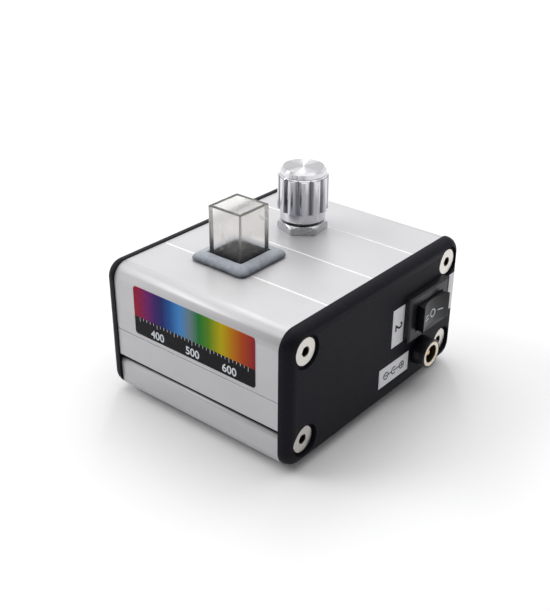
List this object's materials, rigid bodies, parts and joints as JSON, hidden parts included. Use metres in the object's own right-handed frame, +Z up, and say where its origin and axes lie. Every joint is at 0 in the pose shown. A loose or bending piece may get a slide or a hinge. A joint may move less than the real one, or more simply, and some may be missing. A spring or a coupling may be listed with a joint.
{
  "type": "fiber optic spectrophotometer light source",
  "caption": "Small aluminium box with black end covers, a cuvette standing in its top, a fluted knob, a rocker switch, a power jack and a fibre port.",
  "frame": {"origin": "middle of the unit's footprint in x and y, on the table plane under the feet", "axes": "+Z up, +X towards the switch and jack cover, -X towards the fibre port, -Y towards the front label"},
  "size_m": [0.086, 0.0848, 0.0649],
  "materials": {
    "body_aluminium": "bead blasted, clear anodised, satin",
    "cover_black": "fine texture, matte black",
    "screw_steel": "bright steel",
    "foot_rubber": "matte black rubber",
    "clear_cell": "clear plastic, slightly smoky",
    "collar_rubber": "soft grey blue rubber",
    "holder_black": "matte black",
    "lens_glass": "polished",
    "board_green": "solder mask",
    "lamp_body": "pale ceramic with a clear dome",
    "port_metal": "turned stainless steel",
    "nickel": "nickel plate",
    "knob_aluminium": "turned, bright",
    "insert_plastic": "pale moulded plastic",
    "can_steel": "zinc plated sheet",
    "wafer_brown": "laminate board",
    "terminal_tin": "tinned",
    "switch_black": "moulded black, satin",
    "brass": "turned brass",
    "chip_black": "moulded black",
    "ferrite": "dark ferrite",
    "can_aluminium": "bright can",
    "connector_white": "natural moulded",
    "lead_cover": "soft wire cover",
    "label_print": "printed film",
    "sticker_white": "white tape"
  },
  "bodies": {
    "housing": {"top_shell": "body_aluminium", "bottom_shell": "body_aluminium", "switch_end_cover": "cover_black", "fibre_end_cover": "cover_black", "switch_end_screws": "screw_steel", "fibre_end_screws": "screw_steel", "rubber_feet": "foot_rubber", "cuvette_collar": "collar_rubber", "cuvette_holder": "holder_black", "holder_screws": "screw_steel", "lamp_tube": "holder_black", "source_lens": "lens_glass", "lamp_board": "board_green", "white_lamp": "lamp_body", "ultraviolet_lamp": "lamp_body", "lamp_board_screws": "screw_steel", "lens_tube": "holder_black", "collimating_lens": "lens_glass", "fibre_port": "port_metal", "fibre_port_washer": "nickel", "fibre_port_nut": "nickel", "control_body": "can_steel", "control_wafer": "wafer_brown", "control_lugs": "terminal_tin", "control_washer": "nickel", "control_nut": "nickel", "switch_housing": "switch_black", "switch_blades": "terminal_tin", "jack_barrel": "switch_black", "jack_ring": "nickel", "jack_pin": "brass", "jack_nut": "nickel", "jack_terminals": "terminal_tin", "driver_board": "board_green", "board_posts": "brass", "board_screws": "screw_steel", "driver_chip": "chip_black", "inductor": "ferrite", "capacitors": "can_aluminium", "wire_connectors": "connector_white", "jack_wires": "lead_cover", "switch_wires": "lead_cover", "control_wires": "lead_cover", "lamp_wires": "lead_cover", "front_label": "label_print", "cover_stickers": "sticker_white"},
    "knob": {"level_knob": "knob_aluminium", "knob_insert": "insert_plastic", "control_shaft": "port_metal"},
    "rocker": {"rocker": "switch_black"},
    "cuvette": {"cuvette": "clear_cell"}
  },
  "joints": [
    {"name": "knob_turn", "type": "hinge", "parent": "housing", "child": "knob", "pos_m": [-0.00405, 0.0154, 0.0445], "axis": [0, 0, 1], "range_deg": [-150, 150]},
    {"name": "rocker_tilt", "type": "hinge", "parent": "housing", "child": "rocker", "pos_m": [0.03555, 0.0222, 0.0273], "axis": [0, 0, 1], "range_deg": [-8, 8]},
    {"name": "cuvette_lift", "type": "slide", "parent": "housing", "child": "cuvette", "axis": [0, 0, 1], "range_m": [0, 0.05]}
  ]
}
